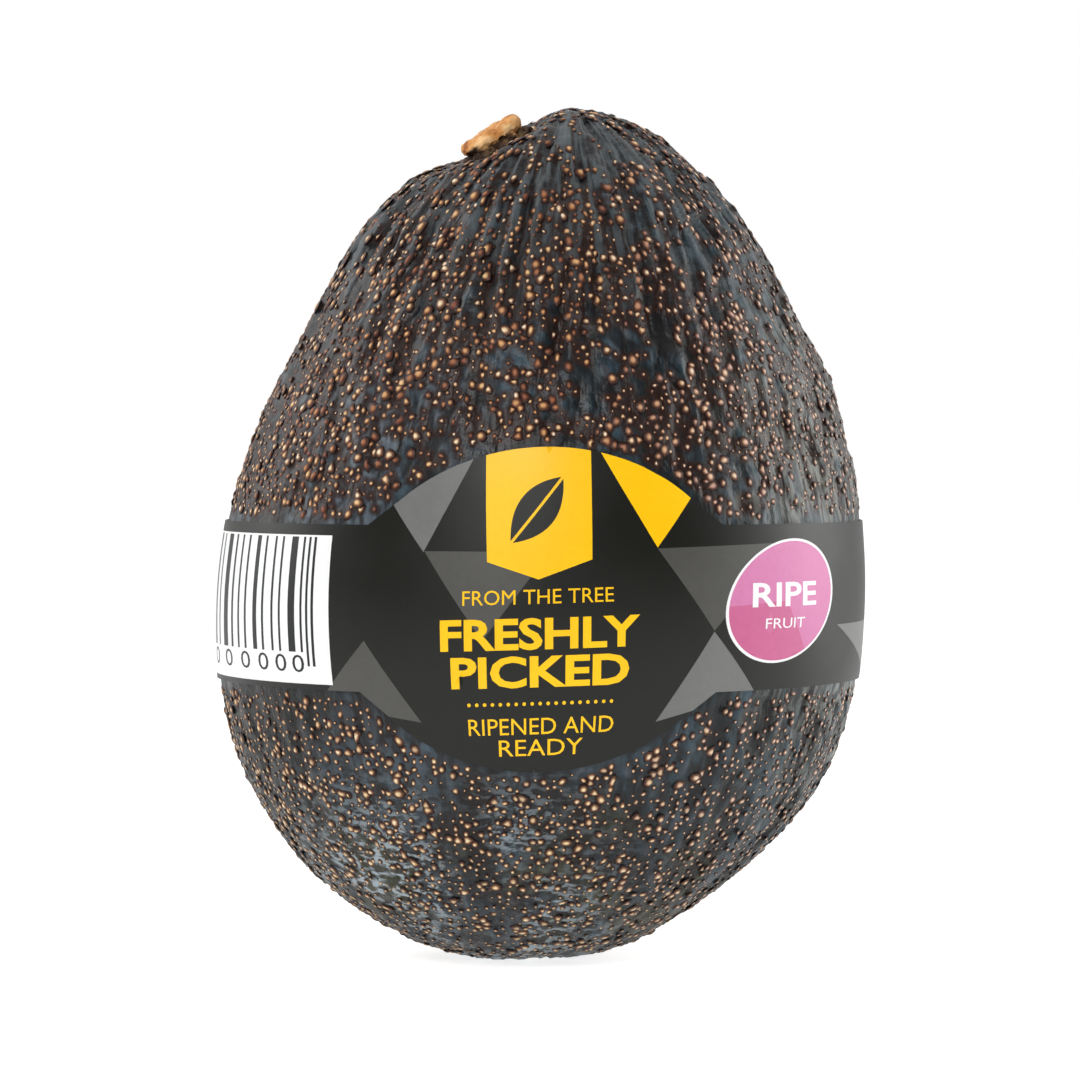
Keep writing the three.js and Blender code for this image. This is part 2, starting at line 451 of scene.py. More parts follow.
def skin_material():
    """Slate and maroon skin with lengthwise streaks, painted shade in the creases, painted highlights and a
    painted reflection, and a satin gloss.
    """
    made, n, sockets = material("avocado skin", Specular_IOR_Level=0.3)
    place = n.axes(n.spot())
    outward = n.axes(n.outward_from(fruit_middle))
    flow_spot = n.attribute("flow", "Vector")
    streak = n.cloud(900, 3, flow_spot)
    high_up = n.span(place["Z"], level_at(0.3), level_at(0.5), 0.2, 0.85)
    low_down = n.span(place["Z"], level_at(0.27), level_at(0.1))

    # The ground: slate, teal to the right, with maroon patches high up and green ones low down.
    slate = n.ramp(n.cloud(130, 4), [(0.32, SLATE_DARK), (0.48, SLATE), (0.66, SLATE_PALE)])
    rightward = n.span(place["X"], 0.0, 0.8 * fruit_high.x)
    colour = n.mix(n.times(rightward, 0.5), slate, TEAL)
    maroon = n.span(n.cloud(55, 3), 0.44, 0.62)
    colour = n.mix(n.times(maroon, high_up), colour, MAROON)
    bare_side = n.span(place["X"], 0.1 * fruit_low.x, 0.35 * fruit_low.x)
    bare_low = n.span(place["Z"], level_at(0.76), level_at(0.62))
    bare = n.times(n.span(n.cloud(150, 2), 0.42, 0.58), bare_side, bare_low, high_up)
    colour = n.mix(bare, colour, BARE_SLATE)
    green_spots = n.span(n.cloud(95, 3), 0.48, 0.62)
    colour = n.mix(n.times(low_down, green_spots), colour, DULL_GREEN)

    # The surface: streaks along the ridges, a painted highlight on the raised pebbles, painted shade in the
    # creases, halos and fine specks.
    colour = n.mix(n.times(n.span(streak, 0.54, 0.72), 0.6), colour, STREAK_PALE)
    colour = n.mix(n.times(n.span(streak, 0.49, 0.36), 0.85), colour, STREAK_DARK)
    # Painted light: grey where the relief stands up, near-black where it sinks.
    relief_shading = n.attribute("relief_shading")
    colour = n.mix(n.span(relief_shading, 0.35, 0.0, 0, 0.5), colour, PEBBLE_HIGHLIGHT_GREY)
    colour = n.mix(n.span(relief_shading, 0.45, 0.9, 0, 0.8), colour, CREASE_SHADE_BLACK)
    halo = n.span(n.attribute("halo"), 0.15, 0.9)
    colour = n.mix(n.times(halo, high_up), colour, HALO_BROWN)
    colour = n.mix(n.span(n.cells(850), 0.2, 0.1, 0, 0.7), colour, SPECK_TAN)

    # The painted light: a painted highlight of pale glints low on the left, a painted reflection in grey
    # streaks at the right side, grey streaks at the neck, and a dark left foot.
    # Painted highlight: pale glints in fine streaks, low on the skin's left side.
    glint_grain = n.span(n.cloud(700, 4, n.stretched((1, 1, 2.2))), 0.46, 0.62)
    glint_patch = n.span(n.cloud(70, 2), 0.4, 0.58)
    leftward = n.span(place["X"], 0.4 * fruit_high.x, 0.1 * fruit_low.x)
    colour = n.mix(n.times(glint_grain, glint_patch, leftward, low_down), colour, PAINTED_GLINT_PALE)
    # A painted reflection: fine grey streaks on the skin turned to the right.
    fine_streak = n.span(n.cloud(1900, 3, flow_spot), 0.4, 0.68)
    right_reflection = n.span(outward["X"], 0.45, 0.9, 0, 0.65)
    colour = n.mix(n.times(right_reflection, fine_streak), colour, RIGHT_REFLECTION_GREY)
    at_neck = n.span(place["Z"], level_at(0.68), level_at(0.95))
    colour = n.mix(n.times(at_neck, n.span(streak, 0.43, 0.66)), colour, NECK_GREY)
    far_left = n.span(outward["X"], -0.4, -0.75)
    below_label = n.span(place["Z"], level_at(0.5), level_at(0.42))
    colour = n.mix(n.times(far_left, below_label, 0.9), colour, SHADE_BLACK)

    n.feed(sockets["Base Color"], colour)
    n.feed(sockets["Roughness"], n.span(n.cloud(240, 3), 0.3, 0.7, 0.36, 0.5))
    relief = n.maths("ADD", n.times(n.cloud(1100, 3), 0.5), n.times(streak, 0.8))
    n.feed(sockets["Normal"], n.bump(relief, 0.32 * MM, 1.0))
    return made


skin = new_piece("avocado_skin", skin_mesh, "avocado_skin", skin_material())
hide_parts("fruit")

# ---------------------------------------------------------------------------------------------
# The lenticels: thousands of raised corky pores in short rows, tan to golden, each growing
# out of the skin on its own low mound. They are part of the skin, and nothing holds them.
# ---------------------------------------------------------------------------------------------
LENTICEL_RADIUS = 0.375 * MM
LENTICEL_SIDES = 8
LENTICEL_PROFILE = [(0, 1), (0.28, 0.84), (0.55, 0.46), (0.8, 0.14), (1.05, -0.06), (0, -0.4)]
LENTICEL_RISE = 0.3  # height of a lenticel as a share of its radius
LENTICEL_BELTS = 5
SIZE_SPREAD = 0.4
SMALLEST, LARGEST = 0.4, 1.9  # as shares of the radius
LAYOUT_REACH = 1.25  # how far out the underside's middle lies in the layout

# The tips' tones: the cork's own tan and gold, lightening to cream as a painted highlight on each top.
TIP_AND_HIGHLIGHT_TONES = [
    (0.0, (0.24, 0.070, 0.034)), (0.25, (0.42, 0.17, 0.07)), (0.5, (0.72, 0.39, 0.16)),
    (0.75, (0.86, 0.58, 0.28)), (1.0, (0.95, 0.80, 0.58)),
]
FLANK_TONES = [(0.0, (0.050, 0.012, 0.006)), (0.5, (0.115, 0.030, 0.010)), (1.0, (0.19, 0.062, 0.020))]
TIP_LOW_DOWN, TIP_AT_RIGHT, FLANK_AT_RIGHT = (0.86, 0.68, 0.40), (0.80, 0.58, 0.47), (0.15, 0.070, 0.050)
RIM_BROWN, GRAIN_BROWN = (0.014, 0.0050, 0.0030), (0.10, 0.04, 0.02)

# One lenticel of radius 1 is turned, and the others are uneven copies of it.
bead_form = bmesh.new()
profile = [bead_form.verts.new((r, 0, h)) for r, h in LENTICEL_PROFILE]
for pair in zip(profile, profile[1:]):
    bead_form.edges.new(pair)
bmesh.ops.spin(
    bead_form, geom=bead_form.verts[:] + bead_form.edges[:], axis=(0, 0, 1), cent=(0, 0, 0),
    steps=LENTICEL_SIDES, angle=2 * math.pi, use_merge=True,
)
bmesh.ops.remove_doubles(bead_form, verts=bead_form.verts, dist=0.001)
bmesh.ops.triangulate(bead_form, faces=bead_form.faces)
bmesh.ops.recalc_face_normals(bead_form, faces=bead_form.faces)
bead_mesh = bpy.data.meshes.new("bead")
bead_form.to_mesh(bead_mesh)
bead_form.free()
bead = positions(bead_mesh)
bead_corners = np.array([tuple(p.vertices) for p in bead_mesh.polygons])
bpy.data.meshes.remove(bead_mesh)
bead_reach = np.hypot(bead[:, 0], bead[:, 1])
bead_around = np.arctan2(bead[:, 1], bead[:, 0])
bead_under = bead[:, 2] < -0.2
bead_crown = np.where(bead_under, 0, np.maximum(0, 1 - bead_reach))


def bead_layout():
    """The template laid flat in a unit square, its top in the middle and its underside outermost."""
    reach = np.where(bead_under, LAYOUT_REACH, bead_reach) / LAYOUT_REACH
    flat = np.empty((len(bead_corners), 3, 2))
    for f, face in enumerate(bead_corners):
        facing = math.atan2(*bead[face].mean(0)[[1, 0]])
        for c, vertex in enumerate(face):
            turn = bead_around[vertex] if bead_reach[vertex] > 0.01 else facing
            flat[f, c] = 0.5 + 0.46 * reach[vertex] * np.array((math.cos(turn), math.sin(turn)))
    return flat


def lenticel_forms(spots):
    """The corners of lenticels of uneven size and outline, each standing square on the finished skin."""
    sizes = LENTICEL_RADIUS * np.clip(rng.lognormal(0, SIZE_SPREAD, len(spots)), SMALLEST, LARGEST)
    sizes *= 1 - 0.15 * smoothstep(0.3, 0.9, spots[:, 0] / fruit_high.x)
    sizes *= 0.94 + 0.06 * smoothstep(0.2, 0.5, share_of_height(spots[:, 2]))
    forms = np.empty((len(spots), len(bead), 3))
    for i, spot in enumerate(spots):
        point = finished_skin.find_nearest(Vector(spot))[0]
        normal = skin_tree.find_nearest(point)[1]
        level = Vector((0, 0, 1)).cross(normal).normalized()
        towards_neck = float(smoothstep(0.5, 0.95, share_of_height(point.z)))
        drawn_out = 1.05 + 0.6 * towards_neck * rng.random()
        spin = rng.uniform(0, math.pi)
        c, s = math.cos(spin), math.sin(spin)
        form = bead @ np.array(((c, s, 0), (-s, c, 0), (0, 0, 1)))
        outline = 1 + rng.normal(0, 0.15) * np.cos(2 * bead_around)
        outline = outline + rng.normal(0, 0.12) * np.cos(3 * bead_around)
        form[:, :2] *= outline[:, None]
        form[:, :2] += rng.normal(0, 0.08, 2) * bead_crown[:, None]
        width = rng.uniform(0.8, 1.2)
        axes = np.array((level * width, normal.cross(level) * drawn_out, normal * LENTICEL_RISE))
        forms[i] = np.array(point) + (form @ axes) * sizes[i]
    return forms


def lenticel_belt(name, spots, cork):
    """One belt of lenticels as one piece; each has its own tone and its own cell of the bake image."""
    count = len(spots)
    mesh = bpy.data.meshes.new(name)
    first_corner = np.arange(count)[:, None, None] * len(bead)
    corners = (bead_corners[None] + first_corner).reshape(-1, 3)
    mesh.from_pydata(lenticel_forms(spots).reshape(-1, 3), [], corners.tolist())
    mesh.polygons.foreach_set("use_smooth", np.ones(len(corners), bool))
    point_attribute(mesh, "crown", np.tile(bead_crown, count))
    point_attribute(mesh, "tone", np.repeat(rng.random(count), len(bead)))
    columns = math.ceil(math.sqrt(count))
    cell = np.stack([np.arange(count) % columns, np.arange(count) // columns], 1)
    layout = (bead_layout()[None] + cell[:, None, None, :]) / columns
    mesh.uv_layers.new(name="OFBake").data.foreach_set("uv", layout.astype(np.float32).ravel())
    return new_piece(name, mesh, "avocado_skin", cork)


def lenticel_material():
    """Cork with a light tip that is partly its own tone and partly a painted highlight, a russet flank and a
    dark rim, lighter low down and pinker at the right.
    """
    made, n, sockets = material("lenticel cork", Specular_IOR_Level=0.3)
    crown, tone = n.attribute("crown"), n.attribute("tone")
    place = n.axes(n.spot())
    low_down = n.span(place["Z"], level_at(0.42), level_at(0.2))
    rightward = n.span(place["X"], 0.1 * fruit_high.x, 0.7 * fruit_high.x)
    tip_and_highlight = n.mix(n.times(low_down, 0.6), n.ramp(tone, TIP_AND_HIGHLIGHT_TONES), TIP_LOW_DOWN)
    tip_and_highlight = n.mix(n.times(rightward, 0.6), tip_and_highlight, TIP_AT_RIGHT)
    flank = n.mix(n.times(rightward, 0.5), n.ramp(tone, FLANK_TONES), FLANK_AT_RIGHT)
    colour = n.mix(n.span(crown, 0.06, 0.55), RIM_BROWN, flank)
    # Each lenticel is lighter towards its top: partly the cork's tone, partly a painted highlight.
    colour = n.mix(n.span(crown, 0.38, 0.88), colour, tip_and_highlight)
    grain = n.cloud(3000, 2)
    colour = n.mix(n.times(n.span(grain, 0.5, 0.8), 0.3), colour, GRAIN_BROWN)
    n.feed(sockets["Base Color"], colour)
    n.feed(sockets["Roughness"], n.span(grain, 0.3, 0.7, 0.4, 0.6))
    n.feed(sockets["Normal"], n.bump(grain, 0.05 * MM, 0.5))
    return made


finished_skin = BVHTree.FromObject(skin, bpy.context.evaluated_depsgraph_get())
cork = lenticel_material()
lowest_first = places[np.argsort(places[:, 2])]
for belt, spots in enumerate(np.array_split(lowest_first, LENTICEL_BELTS)):
    lenticel_belt(f"lenticels_belt_{belt + 1}", spots, cork)

# ---------------------------------------------------------------------------------------------
# The stem button: the dry stub that stays when the stalk breaks off. Its corky cap is tan and
# lumpy, and a dark ragged collar of old bark holds it down in its pit.
# ---------------------------------------------------------------------------------------------
STEM_TILT = math.radians(30)
STEM_BEARING = math.radians(195)
STEM_SIDES = 96
STEM_RADIUS = 4  # in millimetres, where the lumps and the bark stand out in full
STEM_PROFILE = [  # radius and height in millimetres, from the middle of the underside up
    (0, -1.75), (2.6, -1.75), (4.1, -1.3), (4.4, -0.8), (3.9, -0.35), (3.35, -0.1), (3.45, 0.2),
    (3.8, 0.5), (3.85, 0.95), (3.5, 1.4), (2.8, 1.65), (1.9, 1.6), (0.9, 1.35), (0, 1.3),
]
CORK_TONES = [(0.34, (0.36, 0.12, 0.03)), (0.5, (0.70, 0.31, 0.09)), (0.66, (0.90, 0.56, 0.26))]
BARK_TONES = [(0.35, (0.018, 0.008, 0.005)), (0.55, (0.07, 0.035, 0.018)), (0.72, (0.20, 0.13, 0.06))]
# Painted shade: the brown of the small pits in the cork, which exist only in the colour and not in the shape.
PIT_SHADE_BROWN = (0.09, 0.03, 0.012)

stem_turn = Matrix.Rotation(STEM_BEARING, 4, "Z") @ Matrix.Rotation(STEM_TILT, 4, "Y")
stem_form = bmesh.new()
rim = [stem_form.verts.new((r * MM, 0, h * MM)) for r, h in STEM_PROFILE]
outline = [stem_form.edges.new(pair) for pair in zip(rim, rim[1:])]
bmesh.ops.subdivide_edges(stem_form, edges=outline, cuts=3, smooth=1.0)
bmesh.ops.spin(
    stem_form, geom=stem_form.verts[:] + stem_form.edges[:], axis=(0, 0, 1), cent=(0, 0, 0),
    steps=STEM_SIDES, angle=2 * math.pi, use_merge=True,
)
bmesh.ops.remove_doubles(stem_form, verts=stem_form.verts, dist=0.001 * MM)
bmesh.ops.recalc_face_normals(stem_form, faces=stem_form.faces)


def weathered(p):
    """Where a point of the turned knob goes, in millimetres, and how far it is bark and not cork."""
    around = math.atan2(p.y, p.x)
    edge = 0.9 * noise.noise(p * 0.9) - 0.3 * p.x / STEM_RADIUS
    bark = float(1 - smoothstep(-0.1, 0.5, p.z + edge))
    lump = 0.42 * noise.fractal(p * 0.42 + Vector((3, 0, 0)), 1.0, 2.0, 2)
    crack = max(0, 0.22 - abs(noise.noise(p * 0.9 + Vector((0, 7, 0)))))
    ragged = 0.8 * noise.fractal(Vector((p.x * 1.3, p.y * 1.3, p.z * 0.6)), 0.8, 2.0, 3)
    outward = Vector((math.cos(around), math.sin(around), 0)) * (p.xy.length / STEM_RADIUS)
    moved = p + outward * (ragged * bark + lump) + Vector((0, 0, (lump - crack) * (1 - bark)))
    moved.z += bark * 0.45 * noise.noise(moved * 2.1)
    return moved, bark


bark_layer = stem_form.verts.layers.float.new("bark")
for vertex in stem_form.verts:
    moved, bark = weathered(vertex.co / MM)
    vertex.co = moved * MM
    vertex[bark_layer] = bark
bmesh.ops.transform(stem_form, matrix=Matrix.Translation(stem_middle) @ stem_turn, verts=stem_form.verts)
for face in stem_form.faces:
    face.smooth = True
stem_mesh = bpy.data.meshes.new("stem button")
stem_form.to_mesh(stem_mesh)
stem_form.free()


def stem_material():
    """Orange cork with painted shade in its small pits, turning into dark, flaking bark."""
    made, n, sockets = material("dry cork", Specular_IOR_Level=0.3)
    pit_shade = n.span(n.cells(900), 0.16, 0.05)
    wood = n.mix(n.times(pit_shade, 0.75), n.ramp(n.cloud(480, 4), CORK_TONES), PIT_SHADE_BROWN)
    bark = n.ramp(n.cloud(800, 4), BARK_TONES)
    n.feed(sockets["Base Color"], n.mix(n.attribute("bark"), wood, bark))
    grain = n.cloud(1500, 5)
    n.feed(sockets["Roughness"], n.span(grain, 0.3, 0.7, 0.65, 0.9))
    n.feed(sockets["Normal"], n.bump(grain, 0.25 * MM, 0.9))
    return made


stem = new_piece("stem_button_cork", stem_mesh, "stem_wood", stem_material())
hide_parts("stem_button")

# ---------------------------------------------------------------------------------------------
# The label band: one die-cut strip of coated paper, black-printed with a wide round front.
# It is wrapped tight round the fruit's girth, and its ends lap and are glued behind.
# The blank is drawn flat in millimetres, given its thickness, and then bent round the skin.
# ---------------------------------------------------------------------------------------------
PAPER_THICKNESS = 0.16
PAPER_GAP = 0.2
PAPER_MOTTLE = 0.12
STRIP_HALF = 8.9
ROUNDEL_HALF_WIDTH = 23
ROUNDEL_MARGIN = 0.15
SHOULDER_RISE = 2.8
SHOULDER_RUN = 3.9
LAP_LENGTH = 9
LAP_RAMP = 4
LAP_CLEARANCE = 0.08
LAP_LIFT, LAP_LIFT_RUN = 0.35, 2.5  # the outer end's edge stands off a little
COCKLE, COCKLE_LENGTH, COCKLE_HEIGHT = 0.05, 9, 7  # faint waves in the wrapped paper
GRID = 1.625
ART_RISE = 0.03
ART_LEAN = 0.05
PANEL_LEAN = 0.07
WINDOW = 16 * GRID  # half the width of the front part that has the largest share of the bake image
# The rows of the bake image from the bottom up, each as its foot and its height.
BACK_ROW, EDGE_ROW = (0.002, 0.012), (0.016, 0.004)
RIGHT_ROW, LEFT_ROW, WINDOW_ROW = (0.025, 0.15), (0.185, 0.15), (0.345, 0.65)

INKS = {
    "black": (0.006, 0.0064, 0.004), "grey": (0.075, 0.074, 0.068), "light grey": (0.165, 0.165, 0.160),
    "yellow": (1.0, 0.56, 0.0), "white": (0.86, 0.86, 0.86), "bar black": (0.012, 0.012, 0.012),
    "pink": (0.62, 0.19, 0.39), "rose": (0.56, 0.12, 0.27), "paper": (0.80, 0.79, 0.76),
}

label_low, label_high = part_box("label_band")
label_height = (label_low.z + label_high.z) / 2
roundel_half = (label_high.z - label_low.z) / 2 / MM - ROUNDEL_MARGIN
girth_radius = (fruit_high - fruit_low).xy.length / math.sqrt(8) / MM
half_length = math.pi * girth_radius + LAP_LENGTH / 2

shoulder_top = STRIP_HALF + SHOULDER_RISE
shoulder_at = ROUNDEL_HALF_WIDTH * math.sqrt(1 - (shoulder_top / roundel_half) ** 2)


def arc(centre, half_width, half_height, start, end, steps, lean=0.0):
    """Points along an ellipse between two angles in degrees."""
    turns = np.radians(np.linspace(start, end, steps + 1))
    x, y = half_width * np.cos(turns), half_height * np.sin(turns)
    c, s = math.cos(lean), math.sin(lean)
    return [(centre[0] + a * c - b * s, centre[1] + a * s + b * c) for a, b in zip(x, y)]


def blank_outline():
    """The die-cut blank: a strip whose shoulders rise to a wide round front."""
    top_angle = math.degrees(math.asin(shoulder_top / roundel_half))
    top = arc((0, 0), ROUNDEL_HALF_WIDTH, roundel_half, top_angle, 180 - top_angle, 64)
    upper = [(half_length, STRIP_HALF), (shoulder_at + SHOULDER_RUN, STRIP_HALF), *top]
    upper += [(-shoulder_at - SHOULDER_RUN, STRIP_HALF), (-half_length, STRIP_HALF)]
    return upper + [(x, -y) for x, y in reversed(upper)]


def set_in(points):
    """The middle of the print runs slightly uphill and leans a little."""
    return [(x - y * ART_LEAN, y + x * ART_RISE) for x, y in points]


def set_panel(points):
    return [(x - y * PANEL_LEAN, y) for x, y in points]


def rectangle(left, bottom, right, top):
    return [(left, bottom), (right, bottom), (right, top), (left, top)]


def lettering(words, middle, cap_height, width, bold=0.0):
    """The filled triangles of one line of plain capitals, scaled to a height and a width."""
    curve = bpy.data.curves.new("lettering", "FONT")
    curve.body = words
    curve.resolution_u = 3
    curve.offset = bold
    holder = bpy.data.objects.new("lettering", curve)
    bpy.context.scene.collection.objects.link(holder)
    bpy.context.view_layer.update()
    mesh = bpy.data.meshes.new_from_object(holder.evaluated_get(bpy.context.evaluated_depsgraph_get()))
    form = bmesh.new()
    form.from_mesh(mesh)
    bmesh.ops.triangulate(form, faces=form.faces)
    spots = np.array([v.co.xy for v in form.verts])
    low, high = spots.min(0), spots.max(0)
    scale = np.array((width, cap_height)) / (high - low)
    triangles = []
    for face in form.faces:
        corners = [(np.array(v.co.xy) - (low + high) / 2) * scale + np.array(middle) for v in face.verts]
        triangles.append([tuple(c) for c in corners])
    form.free()
    bpy.data.objects.remove(holder)
    bpy.data.curves.remove(curve)
    bpy.data.meshes.remove(mesh)
    return triangles


inks = list(INKS)
layers = [("black", blank_outline())]


def print_on(ink, *shapes):
    layers.extend((ink, shape) for shape in shapes)


def print_words(ink, lean, *line):
    print_on(ink, *(lean(triangle) for triangle in lettering(*line)))


print_on("light grey",
         [(-8.0, 17.6), (-18.6, 11.9), (-13.5, 6.1)],
         [(13.7, -11.9), (19.7, -2.4), (26.1, -8.9)],
         [(40.3, -2.3), (66, -2.3), (60, -10.5)],
         [(72, 10), (90, 10), (81, -3.5)],
         [(-84, -10), (-72, -10), (-79, 2.5)],
         [(-100, 10), (-86, 10), (-92, -1.5)])
print_on("grey",
         [(-13.4, 6.2), (0.6, 6.2), (-6.3, -3.2)],
         [(12.6, 6.5), (28.5, 6.9), (19.7, -2.3)],
         [(-20.1, -3.4), (-13.2, -12.0), (-26.5, -10.2)],
         [(58, 3.5), (74, 3.5), (66, -8.9)],
         [(88, -10), (104, -10), (97, 1.5)],
         [(-79, 2.5), (-66, 2.5), (-72, -8.0)])
print_on("yellow",
         [(-6.2, 5.1), (-0.5, 3.3), (5.25, 5.4), (4.85, 18), (-7.5, 18)],
         [(5.2, 18), (17.1, 12.2), (12.6, 6.6)])


# The words, the figures and the bars say nothing in particular: they only show how such print lies.
BAR_TOP, BAR_FOOT, LONG_BAR_FOOT = 7.5, -4.9, -6.4
BARS = [  # middle and width of each bar; the first two reach down beside the figures
    (-27.45, 0.4), (-28.3, 0.36), (-29.2, 0.36), (-30.8, 1.15), (-32.9, 0.38),
    (-34.3, 0.42), (-36.2, 0.45), (-37.9, 0.9), (-40.2, 0.5), (-42.0, 0.5),
    (-43.9, 0.6), (-46.2, 1.6), (-49.0, 0.6), (-51.5, 1.2), (-54.0, 0.6),
]
FIGURES = [(-30.0, 1.95), (-33.0, 2.0), (-36.4, 2.1), (-40.5, 2.3), (-45.4, 2.5), (-50.8, 2.5)]
DOTS, DOT_PITCH, DOT_RADIUS = 19, 0.88, 0.2

print_on("white", set_panel(rectangle(-60, -8.3, -25.0, 7.7)))
for k, (middle, width) in enumerate(BARS):
    foot = LONG_BAR_FOOT if k < 2 else BAR_FOOT
    print_on("bar black", set_panel(rectangle(middle - width / 2, foot, middle + width / 2, BAR_TOP)))
for middle, width in FIGURES:
    print_words("bar black", set_panel, "0", (middle, -6.15), 1.9, width)

print_words("yellow", set_in, "FROM THE TREE", (-0.4, 1.5), 1.55, 16.4)
print_words("yellow", set_in, "FRESHLY", (-0.2, -2.4), 3.4, 21.8, 0.03)
print_words("yellow", set_in, "PICKED", (-0.2, -6.4), 3.4, 19.6, 0.03)
for k in range(DOTS):
    print_on("yellow", set_in(arc((-8.1 + DOT_PITCH * k, -9.8), DOT_RADIUS, DOT_RADIUS, 0, 330, 11)))
print_words("yellow", set_in, "RIPENED AND", (-0.1, -12.2), 1.75, 16.4)
print_words("yellow", set_in, "READY", (-0.1, -14.5), 1.75, 9.6)


def leaf(middle, length, width, rib, lean):
    """Two arcs that meet in points, with a thin rib left out between them."""
    c, s = math.cos(lean), math.sin(lean)
    halves = []
    for side in (1, -1):
        along = np.linspace(-1, 1, 25)
        bulge = side * (rib + (width / 2 - rib) * (1 - along ** 2))
        half = [(a * length / 2, b) for a, b in zip(along, bulge)]
        half += [(length / 2, side * rib), (-length / 2, side * rib)]
        halves.append([(middle[0] + x * c - y * s, middle[1] + x * s + y * c) for x, y in half])
    return halves


print_on("black", *leaf((-1.0, 10.6), 8.6, 4.4, 0.16, math.radians(52)))

# A round badge on the right: a pink face with a rose sector and a white rim.
BADGE = (29.9, 0.65)
BADGE_LEAN = math.radians(14)
print_on("white", arc(BADGE, 9.0, 6.5, 0, 355, 71, BADGE_LEAN))
print_on("pink", arc(BADGE, 8.6, 6.25, 0, 355, 71, BADGE_LEAN))
print_on("rose", [BADGE] + arc(BADGE, 8.6, 6.25, 165, 285, 25, BADGE_LEAN))
print_on("white", *lettering("RIPE", (BADGE[0], BADGE[1] + 0.7), 2.6, 10.5, 0.02))
print_on("white", *lettering("FRUIT", (BADGE[0], BADGE[1] - 2.4), 1.1, 6.4))


def inside(shape, points):
    """Which of the points lie inside a closed outline."""
    shape = np.array(shape)
    odd = np.zeros(len(points), bool)
    for (x0, y0), (x1, y1) in zip(shape, np.roll(shape, -1, 0)):
        crosses = (y0 > points[:, 1]) != (y1 > points[:, 1])
        at = x0 + (points[crosses, 1] - y0) * (x1 - x0) / (y1 - y0) if y1 != y0 else 0
        odd[crosses] ^= points[crosses, 0] < at
    return odd


def flat_print():
    """The printed blank as one flat mesh, cut along every edge of the print and along a fine grid."""
    spots, faces, edges = [], [], []
    for _, shape in layers:
        faces.append(list(range(len(spots), len(spots) + len(shape))))
        spots.extend(Vector(p) for p in shape)
    columns_each_side = int(half_length / GRID)
    rows_each_side = int(roundel_half / GRID)
    for k in range(-columns_each_side, columns_each_side + 1):
        reach = roundel_half if abs(k * GRID) < ROUNDEL_HALF_WIDTH else STRIP_HALF
        edges.append((len(spots), len(spots) + 1))
        spots += [Vector((k * GRID, -reach)), Vector((k * GRID, reach))]
    for k in range(-rows_each_side, rows_each_side + 1):
        reach = half_length if abs(k * GRID) < STRIP_HALF else ROUNDEL_HALF_WIDTH
        edges.append((len(spots), len(spots) + 1))
        spots += [Vector((-reach, k * GRID)), Vector((reach, k * GRID))]
    made, _, cells = delaunay_2d_cdt(spots, edges, faces, 1, 1e-5)[:3]
    made = np.array([tuple(p) for p in made])
    cells = np.array(cells)
    middles = made[cells].mean(1)
    top_ink = np.full(len(cells), -1)
    for ink, shape in layers:
        top_ink[inside(shape, middles)] = inks.index(ink)
    top_ink[~inside(layers[0][1], middles)] = -1
    form = bmesh.new()
    corners = [form.verts.new((*p, 0)) for p in made]
    for cell, ink in zip(cells, top_ink):
        if ink >= 0:
            form.faces.new([corners[i] for i in cell]).material_index = ink
    loose = [v for v in form.verts if not v.link_faces]
    bmesh.ops.delete(form, geom=loose, context="VERTS")
    return form


def bent(u, v, w):
    """The place on the fruit of a point of the blank, w millimetres outside the skin."""
    angle = -math.pi / 2 + u / girth_radius
    height = label_height + v * MM
    core = Vector((height * math.tan(CORE_LEAN), 0, height))
    outward = Vector((math.cos(angle), math.sin(angle), 0))
    hit, normal = skin_tree.ray_cast(core, outward)[:2]
    return hit + normal * (w * MM)


label_form = flat_print()
label_form.normal_update()
for face in label_form.faces:
    if face.normal.z < 0:
        face.normal_flip()
bmesh.ops.solidify(label_form, geom=label_form.faces[:], thickness=PAPER_THICKNESS)
bmesh.ops.recalc_face_normals(label_form, faces=label_form.faces)
print_map = label_form.loops.layers.uv.new("OFBake")
paper = inks.index("paper")
outer_w = max(v.co.z for v in label_form.verts)
inner_w = min(v.co.z for v in label_form.verts)
middle_w = (outer_w + inner_w) / 2


def in_row(row, v, half):
    foot, height = row
    return foot + height * (v + half) / (2 * half)


def bake_spot(corner, sides, at_front):
    """The spot in the bake image of a corner of a back, edge, front or tail face."""
    u, v, w = corner
    along = (u + half_length) / (2 * half_length)
    if sides == {False}:
        return along, in_row(BACK_ROW, v, roundel_half)
    if len(sides) == 2:
        return along, in_row(EDGE_ROW, 1 if w > middle_w else -1, 1)
    if at_front:
        return (u + WINDOW) / (2 * WINDOW), in_row(WINDOW_ROW, v, roundel_half)
    return (abs(u) - WINDOW) / (half_length - WINDOW), in_row(LEFT_ROW if u < 0 else RIGHT_ROW, v, STRIP_HALF)


for face in label_form.faces:
    sides = {v.co.z > middle_w for v in face.verts}
    if sides != {True}:
        face.material_index = paper
    face.smooth = True
    at_front = abs(face.calc_center_median().x) < WINDOW
    for loop in face.loops:
        loop[print_map].uv = bake_spot(loop.vert.co, sides, at_front)
for edge in label_form.edges:
    flats = edge.link_faces
    edge.smooth = len(flats) < 2 or abs(flats[0].normal.dot(flats[1].normal)) > 0.5
lap_start = half_length - LAP_LENGTH
for vertex in label_form.verts:
    u, v, w = vertex.co
    climb = float(smoothstep(lap_start - LAP_RAMP, lap_start, u)) * (PAPER_THICKNESS + LAP_CLEARANCE)
    climb += LAP_LIFT * float(smoothstep(half_length - LAP_LIFT_RUN, half_length, u)) ** 2
    wave = COCKLE * noise.noise(Vector((u / COCKLE_LENGTH, v / COCKLE_HEIGHT, 0)))
    vertex.co = bent(u, v, PAPER_GAP + (w - inner_w) + climb + wave)
label_mesh = bpy.data.meshes.new("label band")
label_form.to_mesh(label_mesh)
label_form.free()


